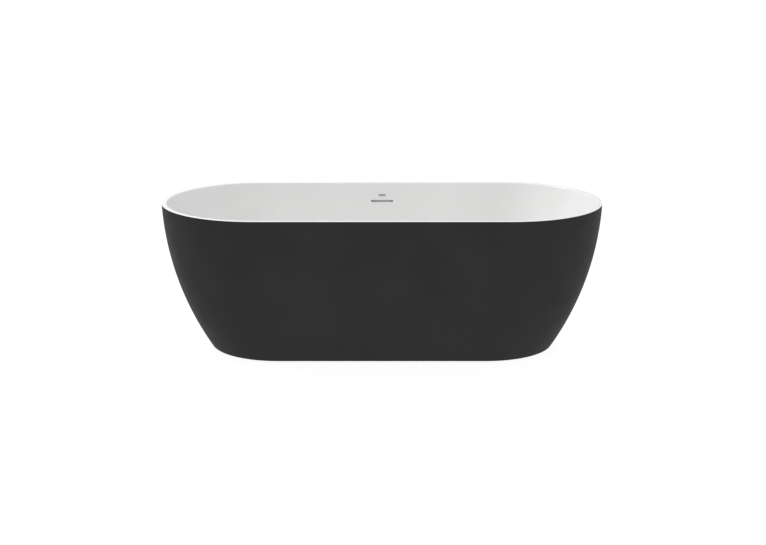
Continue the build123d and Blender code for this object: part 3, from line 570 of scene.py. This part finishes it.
def inner_basin():
    inside, inside_rows = shell_rings(
        basin_sizes, BATHING_FLOOR, RIM_TOP, FLOOR_RADIUS, slot_cuts(0), rim_radius=RIM_INNER_RADIUS
    )
    outside, outside_rows = shell_rings(
        grown(basin_sizes, BASIN_SHEET), BATHING_FLOOR - BASIN_SHEET, RIM_TOP - BASIN_SHEET,
        FLOOR_RADIUS + BASIN_SHEET, slot_cuts(BASIN_SHEET),
    )
    top = waste_rings(inside[0], BATHING_FLOOR, WASTE_RECESS_DEPTH, WASTE_RECESS_RADIUS)
    under = waste_rings(
        outside[0], BATHING_FLOOR - BASIN_SHEET, WASTE_RECESS_DEPTH, WASTE_RECESS_RADIUS + BASIN_SHEET
    )
    rim = rim_outer_rings()
    rings = top[::-1] + inside + rim + outside[::-1] + under
    points, faces = skin(rings, closed_along=True)
    count = len(COLUMNS)
    inner_row = [len(top) + row for row in inside_rows]
    outer_start = len(top) + len(inside) + len(rim) + len(outside) - 1
    outer_row = sorted(outer_start - row for row in outside_rows)
    slot_columns = [
        j for j, (end, _, ny, share) in enumerate(COLUMNS)
        if end == 0 and ny > 0 and abs(share) <= SLOT_SHARE + SHARE_SLACK
    ]
    first, last = slot_columns[0], slot_columns[-1]
    cut_rows = set(range(*inner_row)) | set(range(*outer_row))
    kept = [f for n, f in enumerate(faces) if not (n // count in cut_rows and first <= n % count < last)]
    kept += slot_sides(inner_row, outer_row, first, last, count)
    basin = make_piece("inner_basin_shell", points, kept, "tub", "white_acrylic", ["inner_basin"])
    keep_sharp(basin, SHARP_SHELL)


def slot_sides(inner, outer, first, last, count):
    """Faces that line the slot, from the basin's inner face through to its back."""
    sides = []
    for j in range(first, last):
        low_in, low_out = inner[0] * count + j, outer[1] * count + j
        high_in, high_out = inner[1] * count + j, outer[0] * count + j
        sides.append((low_in + 1, low_in, low_out, low_out + 1))
        sides.append((high_in, high_in + 1, high_out + 1, high_out))
    rows = inner[1] - inner[0]
    for column, flip in ((first, False), (last, True)):
        for k in range(rows):
            a, b = (inner[0] + k) * count + column, (inner[0] + k + 1) * count + column
            c, d = (outer[1] - k - 1) * count + column, (outer[1] - k) * count + column
            sides.append((b, a, d, c) if flip else (a, b, c, d))
    return sides


def outer_skirt():
    outside, _ = shell_rings(
        skirt_sizes, SKIRT_LOW, SKIRT_TOP, FOOT_RADIUS, [], foot_steps=SKIRT_FOOT_STEPS
    )
    inside, _ = shell_rings(
        grown(skirt_sizes, -SKIRT_SHEET), SKIRT_LOW + SKIRT_SHEET, SKIRT_TOP, FOOT_RADIUS - SKIRT_SHEET, [],
        foot_steps=SKIRT_FOOT_STEPS,
    )
    length, width = BASE_HALF_LENGTH - SKIRT_RETURN, BASE_HALF_WIDTH - SKIRT_RETURN
    lip = [level_ring(length, width, SKIRT_LOW + SKIRT_SHEET), level_ring(length, width, SKIRT_LOW)]
    rings = outside + inside[::-1] + lip
    points, faces = skin(rings, closed_along=True)
    skirt = make_piece("outer_skirt_shell", points, faces, "tub", "charcoal_acrylic", ["outer_skirt"])
    keep_sharp(skirt, SHARP_SHELL)


# ================================================================ overflow trim and badge
TRIM_CLEAR = (44.5 * MM, 4.25 * MM, 2.0 * MM)  # half-length, half-height and corner of the clear opening
TRIM_BACK, TRIM_FRONT, TRIM_END = 0.2 * MM, 0.8 * MM, -10.5 * MM  # into the tub from its wall
BADGE_FRONT = 1.2 * MM
TRIM_WALL, TRIM_REACH = 1.0 * MM, 2.5 * MM
BADGE_OUTLINE = (14.0 * MM, 4.0 * MM, 2.0 * MM)
BADGE_BORDER, BADGE_SUNK = 1.1 * MM, 0.15 * MM
TRIM_SOFT, BADGE_SOFT = 0.35 * MM, 0.3 * MM  # radii of their front edges
ARC_MIDDLE = 0.3  # how far the middle of a rounded edge lies from its two faces, in radii


def rounded_ring(outline, grow, z, steps=6):
    """Rounded rectangle, grown evenly from an outline of half-length, half-height and corner radius."""
    half_x, half_y, corner = (value + grow for value in outline)
    ring = []
    for side_x, side_y, start in ((1, 1, 0), (-1, 1, 90), (-1, -1, 180), (1, -1, 270)):
        for k in range(steps + 1):
            angle = math.radians(start + 90 * k / steps)
            x = side_x * (half_x - corner) + corner * math.cos(angle)
            y = side_y * (half_y - corner) + corner * math.sin(angle)
            ring.append(Vector((x, y, z)))
    return ring


def overflow_trim():
    """Lip round the slot and the sleeve behind it, as one section taken round the clear opening."""
    soft, turn = TRIM_SOFT, ARC_MIDDLE * TRIM_SOFT
    section = (
        (0, TRIM_END), (0, TRIM_FRONT - soft), (turn, TRIM_FRONT - turn), (soft, TRIM_FRONT),
        (TRIM_REACH - soft, TRIM_FRONT), (TRIM_REACH - turn, TRIM_FRONT - turn),
        (TRIM_REACH, TRIM_FRONT - soft), (TRIM_REACH, TRIM_BACK),
        (TRIM_WALL, TRIM_BACK), (TRIM_WALL, TRIM_END),
    )
    rings = [rounded_ring(TRIM_CLEAR, grow, z) for grow, z in section]
    points, faces = moved(skin(rings, closed_along=True), wall_matrix(OVERFLOW_DROP))
    keep_sharp(make_piece("overflow_trim_insert", points, faces, "tub", "white_plastic", ["overflow_trim"]))


def badge_plate():
    """Blank plate with rounded edges and a fine sunk border."""
    soft, turn, sunk = BADGE_SOFT, ARC_MIDDLE * BADGE_SOFT, BADGE_SUNK
    section = (
        (0, TRIM_BACK), (0, BADGE_FRONT - soft), (-turn, BADGE_FRONT - turn), (-soft, BADGE_FRONT),
        (-BADGE_BORDER, BADGE_FRONT), (-BADGE_BORDER - sunk, BADGE_FRONT - sunk),
        (-BADGE_BORDER - 2 * sunk, BADGE_FRONT - sunk),
    )
    rings = [rounded_ring(BADGE_OUTLINE, grow, z) for grow, z in section]
    points, faces = moved(capped(rings), wall_matrix(BADGE_DROP))
    keep_sharp(make_piece("badge_blank", points, faces, "tub", "satin_metal", ["badge_plate"]))


# ================================================================ plug and its spring
CROWN = 0.6 * MM
CROWN_SHARES = (0.1, 0.3, 0.5, 0.7, 0.98)  # rings from the plug's edge in to its middle
PLUG_START = 0.4 * MM  # radius at which the underside starts
PLUG_EDGE, PLUG_EDGE_STEPS = 2.5 * MM, 8
PLUG_CHAMFER_IN, PLUG_CHAMFER_UP = 0.6 * MM, 0.4 * MM
SPRING_TURNS, SPRING_WIRE, SPRING_STEPS = 7, 0.4 * MM, 28  # steps are those of one turn


def plug_cap():
    low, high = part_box("plug_cap")
    radius = (high.x - low.x) / 2
    side = low.z + PLUG_CHAMFER_UP
    outline = [(PLUG_START, low.z), (radius - PLUG_CHAMFER_IN, low.z), (radius, side)]
    for k in range(PLUG_EDGE_STEPS + 1):
        angle = math.pi / 2 * k / PLUG_EDGE_STEPS
        rise = (high.z - CROWN - low.z - PLUG_CHAMFER_UP) * math.sin(angle)
        outline.append((radius - PLUG_EDGE * (1 - math.cos(angle)), side + rise))
    inner = radius - PLUG_EDGE
    outline += [(inner * (1 - share), high.z - CROWN * (1 - share) ** 2) for share in CROWN_SHARES]
    points, faces = lathe(outline, steps=96, closed=False)
    keep_sharp(make_piece("plug_cap_crowned", points, faces, "plug", "chrome", ["plug_cap"]), SHARP_PLUG)


def tube_along(path, radii, sides):
    """Rings square to a path; the ring planes keep turning with it."""
    rings, across = [], None
    for i, place in enumerate(path):
        ahead = (path[min(i + 1, len(path) - 1)] - path[max(i - 1, 0)]).normalized()
        guide = across or ahead.orthogonal()
        across = (guide - ahead * guide.dot(ahead)).normalized()
        other = ahead.cross(across)
        ring = []
        for k in range(sides):
            angle = 2 * math.pi * k / sides
            ring.append(place + radii[i] * (math.cos(angle) * across + math.sin(angle) * other))
        rings.append(ring)
    return rings


def cartridge_spring():
    low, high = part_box("cartridge_spring")
    radius = (high.x - low.x) / 2 - SPRING_WIRE
    bottom, top = low.z + SPRING_WIRE, high.z - SPRING_WIRE
    steps = SPRING_TURNS * SPRING_STEPS
    path = []
    for k in range(steps + 1):
        share = k / steps
        angle = 2 * math.pi * SPRING_TURNS * share
        climb = bottom + (top - bottom) * share
        path.append(Vector((radius * math.cos(angle), radius * math.sin(angle), climb)))
    points, faces = capped(tube_along(path, [SPRING_WIRE] * len(path), sides=10))
    spring = make_piece("cartridge_spring_coil", points, faces, "tub", "spring_steel", ["cartridge_spring"])
    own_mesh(spring)


# ================================================================ screw feet
FEET = ("front_left", "front_right", "rear_left", "rear_right", "centre")
THREAD_RADIUS, THREAD_PITCH, THREAD_DEPTH = 6.0 * MM, 1.75 * MM, 0.9 * MM
COLLAR_RADIUS, COLLAR_TOP, NECK_RADIUS = 7.0 * MM, 10.0 * MM, 5.0 * MM
DRIVE_LOW, DRIVE_HIGH, DRIVE_FLAT = 16.0 * MM, 24.0 * MM, 7.0 * MM
DRIVE_CHAMFER, THREAD_END = 0.6 * MM, 1 * MM
ROWS_PER_TURN = 8
FOOT_START = 0.3 * MM  # radius at which a spindle's and a pad's underside starts


def hex_radius(angle, flat):
    """Distance from the middle of a hexagon to its side, in a direction."""
    return flat / math.cos((angle + math.pi / 6) % (math.pi / 3) - math.pi / 6)


def spindle_radius(angle, r, z):
    if DRIVE_LOW <= z <= DRIVE_HIGH and r > THREAD_RADIUS:
        return min(hex_radius(angle, DRIVE_FLAT), r)
    if z > DRIVE_HIGH and r >= THREAD_RADIUS:
        turn = (z / THREAD_PITCH - angle / (2 * math.pi)) % 1
        return r - THREAD_DEPTH * abs(2 * turn - 1) * min(1, (z - DRIVE_HIGH) / THREAD_PITCH)
    return r


def foot_spindle(foot):
    low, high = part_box("foot_spindle_" + foot)
    corner = 2 * DRIVE_FLAT / math.sqrt(3)
    outline = [
        (FOOT_START, low.z), (COLLAR_RADIUS, low.z), (COLLAR_RADIUS, COLLAR_TOP), (NECK_RADIUS, COLLAR_TOP),
        (NECK_RADIUS, DRIVE_LOW), (DRIVE_FLAT, DRIVE_LOW), (corner, DRIVE_LOW + DRIVE_CHAMFER),
        (corner, DRIVE_HIGH - DRIVE_CHAMFER), (DRIVE_FLAT, DRIVE_HIGH),
    ]
    rows = int((high.z - DRIVE_HIGH - THREAD_END) / THREAD_PITCH * ROWS_PER_TURN)
    outline += [(THREAD_RADIUS, DRIVE_HIGH + (k + 0.5) * THREAD_PITCH / ROWS_PER_TURN) for k in range(rows)]
    outline += [(THREAD_RADIUS - THREAD_END, high.z), (FOOT_START, high.z)]
    place = Matrix.Translation(((low.x + high.x) / 2, (low.y + high.y) / 2, 0))
    points, faces = moved(lathe(outline, steps=30, squeeze=spindle_radius, closed=False), place)
    name = "foot_spindle_threaded_" + foot
    keep_sharp(make_piece(name, points, faces, "spindle_" + foot, "zinc_fastener", ["foot_spindle_" + foot]))


PAD_GROOVES, GROOVE_START, GROOVE_PITCH = 4, 5, 4.5  # start and pitch in mm, outwards from the middle
GROOVE_DEPTH = 0.8 * MM
GROOVE_SLOPE, GROOVE_FLOOR, GROOVE_WIDTH = 0.4 * MM, 1.4 * MM, 1.8 * MM  # where each part of it ends, across
PAD_FLUTES, FLUTE_DEPTH = 30, 0.5 * MM
PAD_OUTSIDE = 0.97  # share of the pad's radius beyond which it is fluted
PAD_CHAMFER, PAD_SIDE_TOP, PAD_DISC_TOP, PAD_SLOPE = 0.6 * MM, 4 * MM, 6 * MM, 2 * MM
BOSS_RADIUS, BOSS_TOP_RADIUS, BOSS_CHAMFER = 12 * MM, 11.2 * MM, 0.8 * MM
BOSS_FILLET = ((13.5 * MM, PAD_DISC_TOP), (12.4 * MM, 6.5 * MM), (BOSS_RADIUS, 7.6 * MM))
NECK_BORE, COLLAR_BORE, COLLAR_BORE_TOP = 5.1 * MM, 7.1 * MM, 10.3 * MM


def foot_pad(foot):
    """Disc with grooves under it and flutes round it, and a boss that grips the spindle's collar."""
    low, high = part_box("foot_pad_" + foot)
    radius = (high.x - low.x) / 2

    def fluted(angle, r, z):
        if r <= PAD_OUTSIDE * radius:
            return r
        return r - FLUTE_DEPTH * max(0.0, math.cos(PAD_FLUTES * angle))

    outline = [(FOOT_START, low.z)]
    up = low.z + GROOVE_DEPTH
    for k in range(PAD_GROOVES):
        r = (GROOVE_START + GROOVE_PITCH * k) * MM
        outline += [(r, low.z), (r + GROOVE_SLOPE, up), (r + GROOVE_FLOOR, up), (r + GROOVE_WIDTH, low.z)]
    outline += [
        (radius - PAD_CHAMFER, low.z), (radius, low.z + PAD_CHAMFER), (radius, PAD_SIDE_TOP),
        (radius - PAD_SLOPE, PAD_DISC_TOP), *BOSS_FILLET, (BOSS_RADIUS, high.z - BOSS_CHAMFER),
        (BOSS_TOP_RADIUS, high.z), (NECK_BORE, high.z), (NECK_BORE, COLLAR_BORE_TOP),
        (COLLAR_BORE, COLLAR_BORE_TOP), (COLLAR_BORE, PAD_SIDE_TOP), (FOOT_START, PAD_SIDE_TOP),
    ]
    place = Matrix.Translation(((low.x + high.x) / 2, (low.y + high.y) / 2, 0))
    points, faces = moved(lathe(outline, steps=120, squeeze=fluted, closed=False), place)
    name = "foot_pad_fluted_" + foot
    keep_sharp(make_piece(name, points, faces, "foot_" + foot, "foot_plastic", ["foot_pad_" + foot]))


# ================================================================ union nuts and hose
NUT_LUGS, LUG_HOLLOW, NUT_EDGE = 12, 0.06, 0.8 * MM  # the hollow between lugs is a share of the radius
NUT_OUTSIDE = 0.95  # share of the nut's radius beyond which it has lugs
NUTS = (  # node, narrow bore, wide bore, and the narrow one's length, negative where it is at the high end
    ("trap_inlet_nut", 20.1 * MM, 22.1 * MM, 5.0 * MM),
    ("outlet_nut", 25.1 * MM, 30.1 * MM, -4.0 * MM),
)
HOSE_BEND, HOSE_START, SPIGOT_DEPTH = 105.0 * MM, -118.0 * MM, -19.5 * MM
CUFF, RIB_PITCH, RIB_DEPTH, HOSE_WALL = 24.0 * MM, 5.0 * MM, 1.3 * MM, 1.6 * MM
STRAIGHT_STEPS, BEND_STEPS, ROWS_PER_RIB, HOSE_SIDES = 60, 90, 6, 28


def union_nut(node, bore, seat, step):
    """Nut about the x axis with finger lugs and two bores.

    step is the length of the narrow one at the nut's low end, or at its high end where it is negative.
    """
    low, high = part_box(node)
    radius, long = (high.z - low.z) / 2, high.x - low.x

    def lugged(angle, r, z):
        if r <= NUT_OUTSIDE * radius:
            return r
        hollow = 0.5 - 0.5 * math.cos(NUT_LUGS * angle)
        return r - LUG_HOLLOW * radius * hollow**2

    if step > 0:
        inner = [(bore, 0), (bore, step), (seat, step), (seat, long)]
    else:
        inner = [(seat, 0), (seat, long + step), (bore, long + step), (bore, long)]
    outline = inner + [
        (radius - NUT_EDGE, long), (radius, long - NUT_EDGE), (radius, NUT_EDGE), (radius - NUT_EDGE, 0)
    ]
    middle = Vector((low.x, (low.y + high.y) / 2, (low.z + high.z) / 2))
    place = Matrix.Translation(middle) @ Matrix.Rotation(math.pi / 2, 4, "Y")
    points, faces = moved(lathe(outline, steps=96, squeeze=lugged), place)
    keep_sharp(make_piece(node + "_lugged", points, faces, "tub", "white_plastic", [node]))


def hose_line():
    """The hose's middle line, down the wall, round one bend and along to the waste, and its radius."""
    low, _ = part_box("overflow_hose")
    radius = node_size("overflow_hose").x / 2
    start = wall_matrix(OVERFLOW_DROP) @ Vector((0, HOSE_START, SPIGOT_DEPTH))
    end = Vector((0, low.y, low.z + radius))
    down = -wall_frame(OVERFLOW_DROP)[1]
    corner = start + down * ((end.z - start.z) / down.z)
    turn = down.angle(end - corner)
    reach = HOSE_BEND * math.tan(turn / 2)
    first, level = corner - down * reach, (end - corner).normalized()
    inward = (level - down * level.dot(down)).normalized()
    centre = first + inward * HOSE_BEND
    line = [start.lerp(first, k / STRAIGHT_STEPS) for k in range(STRAIGHT_STEPS)]
    for k in range(BEND_STEPS):
        angle = turn * k / BEND_STEPS
        line.append(centre + HOSE_BEND * (math.sin(angle) * down - math.cos(angle) * inward))
    last = corner + level * reach
    line += [last.lerp(end, k / STRAIGHT_STEPS) for k in range(STRAIGHT_STEPS + 1)]
    return line, radius


def overflow_hose():
    """Hose ribbed all along but for a plain cuff at each end."""
    line, radius = hose_line()
    run = [0.0]
    for a, b in zip(line, line[1:]):
        run.append(run[-1] + (b - a).length)
    count = int(run[-1] / (RIB_PITCH / ROWS_PER_RIB))
    path, radii, i = [], [], 0
    for k in range(count + 1):
        here = run[-1] * k / count
        while i < len(run) - 2 and run[i + 1] < here:
            i += 1
        path.append(line[i].lerp(line[i + 1], (here - run[i]) / (run[i + 1] - run[i])))
        ribbed = min(here, run[-1] - here) > CUFF
        wave = 0.5 - 0.5 * math.cos(2 * math.pi * here / RIB_PITCH)
        radii.append(radius - RIB_DEPTH * wave if ribbed else radius)
    outside = tube_along(path, radii, sides=HOSE_SIDES)
    inside = tube_along(path, [r - HOSE_WALL for r in radii], sides=HOSE_SIDES)
    points, faces = skin(outside + inside[::-1], closed_along=True)
    make_piece("overflow_hose_ribbed", points, faces, "tub", "hose_plastic", ["overflow_hose"])


# ================================================================ CAD nodes that keep their own shape
BEVEL_SEGMENTS, BEVEL_ANGLE = 2, 50  # edges turning by more than this many degrees are softened
SOFT_EDGES = {  # bevel width for each material
    "plywood": 0.8 * MM, "galvanised_steel": 0.4 * MM, "white_plastic": 0.5 * MM, "black_plastic": 0.5 * MM,
    "chrome": 0.3 * MM, "brass": 0.25 * MM, "zinc_fastener": 0.25 * MM, "seal_rubber": 0.25 * MM,
    "spring_steel": 0.2 * MM, "adhesive": 0.6 * MM,
}


def dress_cad_nodes():
    """Gives each remaining CAD node its slot's material and softens its edges."""
    slots = {row["node"]: row["material_slot"] for row in frame["record"]["subparts"]}
    for name, node in frame["nodes"].items():
        if node.hide_render:
            continue
        node.data.materials.clear()
        node.data.materials.append(MATERIALS[slots[name]])
        bevel = node.modifiers.new("soft_edges", "BEVEL")
        bevel.width = SOFT_EDGES[slots[name]]
        bevel.segments = BEVEL_SEGMENTS
        bevel.limit_method = "ANGLE"
        bevel.angle_limit = math.radians(BEVEL_ANGLE)


# ================================================================ stage, light and camera
FLOOR_SIZE, FLOOR_CELLS = 40.0, 8
FLOOR_GLOW = 0.93  # the pale floor lights itself, so that the tub throws almost no shadow on it
WORLD_LIGHT = 0.80
KEY_PLACE, KEY_SIZE, KEY_POWER = (-2.4, 0.9, 4.0), (2.2, 2.2), 100


def make_floor():
    material = mottled(
        "floor_paint", (0.10, 0.10, 0.10), (0.12, 0.12, 0.12), 2.0, (0.7, 0.8), 200.0, 0.02 * MM
    )
    shader = material.node_tree.nodes["Principled BSDF"]
    shader.inputs["Emission Color"].default_value = (1, 1, 1, 1)
    shader.inputs["Emission Strength"].default_value = FLOOR_GLOW
    cells = FLOOR_CELLS
    rows = [-FLOOR_SIZE / 2 + FLOOR_SIZE * k / cells for k in range(cells + 1)]
    points = [Vector((x, y, 0)) for y in rows for x in rows]
    faces = []
    for i in range(cells):
        for j in range(cells):
            corner = i * (cells + 1) + j
            faces.append((corner, corner + 1, corner + cells + 2, corner + cells + 1))
    mesh = bpy.data.meshes.new("floor")
    mesh.from_pydata(points, [], faces)
    mesh.materials.append(material)
    floor = bpy.data.objects.new("floor", mesh)
    bpy.context.scene.collection.objects.link(floor)


def add_area_light(name, place, target, size, power):
    light = bpy.data.lights.new(name, "AREA")
    light.shape = "RECTANGLE"
    light.size, light.size_y = size
    light.energy = power
    lamp = bpy.data.objects.new(name, light)
    lamp.location = place
    lamp.rotation_euler = (Vector(target) - Vector(place)).to_track_quat("-Z", "Y").to_euler()
    bpy.context.scene.collection.objects.link(lamp)


def make_lights():
    world = bpy.data.worlds.new("studio")
    world.use_nodes = True
    background = world.node_tree.nodes["Background"]
    background.inputs["Color"].default_value = (1, 1, 1, 1)
    background.inputs["Strength"].default_value = WORLD_LIGHT
    bpy.context.scene.world = world
    add_area_light("key_left", KEY_PLACE, (0, 0, RIM_TOP / 2), KEY_SIZE, KEY_POWER)


CAMERA_BACK, CAMERA_HEIGHT = 6.971, 2.038
CAMERA_PITCH = 14.13  # degrees down from level
CAMERA_LENS, SENSOR = 86.54, 36.0  # mm
CAMERA_SHIFT = 1.0 / 766  # one pixel of the 766 x 545 picture


def make_camera():
    data = bpy.data.cameras.new("camera")
    data.sensor_width = SENSOR
    data.lens = CAMERA_LENS
    data.shift_x = CAMERA_SHIFT
    camera = bpy.data.objects.new("camera", data)
    camera.location = (0, -CAMERA_BACK, CAMERA_HEIGHT)
    camera.rotation_euler = (math.radians(90 - CAMERA_PITCH), 0, 0)
    bpy.context.scene.collection.objects.link(camera)
    bpy.context.scene.camera = camera


def set_tones():
    scene = bpy.context.scene
    scene.view_settings.view_transform = "Standard"
    scene.view_settings.look = "None"


make_camera()
inner_basin()
outer_skirt()
overflow_trim()
badge_plate()
plug_cap()
cartridge_spring()
for foot_name in FEET:
    foot_spindle(foot_name)
    foot_pad(foot_name)
for nut_row in NUTS:
    union_nut(*nut_row)
overflow_hose()
dress_cad_nodes()
make_floor()
make_lights()
set_tones()
